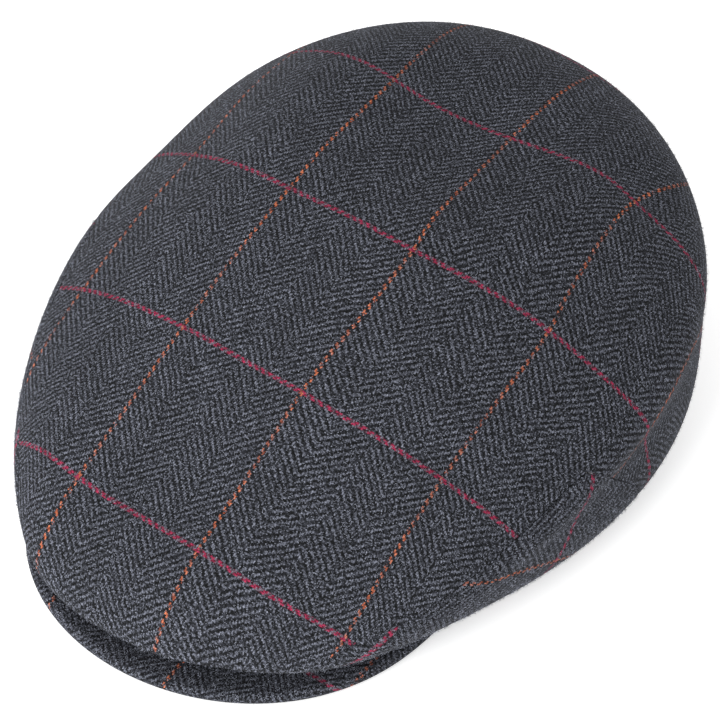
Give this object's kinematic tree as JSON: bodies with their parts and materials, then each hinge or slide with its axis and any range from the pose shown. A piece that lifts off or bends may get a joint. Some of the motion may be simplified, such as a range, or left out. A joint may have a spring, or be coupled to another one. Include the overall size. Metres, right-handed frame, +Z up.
{
  "type": "flat cap",
  "caption": "Soft flat cap of dark grey herringbone tweed with a windowpane check, a full crown pulled forward over a short stiff peak.",
  "frame": {"origin": "centre of the cap's bounding box on the surface that the hem rests on", "axes": "+Z up, -Y towards the peak, +X towards the wearer's left"},
  "size_m": [0.2155, 0.268, 0.094],
  "materials": {
    "tweed_top": "brushed wool tweed",
    "tweed_side": "brushed wool tweed",
    "tweed_peak": "brushed wool tweed"
  },
  "bodies": {
    "root": {"top_panel": "tweed_top", "side_panel_left": "tweed_side", "side_panel_right": "tweed_side", "peak": "tweed_peak"}
  },
  "joints": []
}
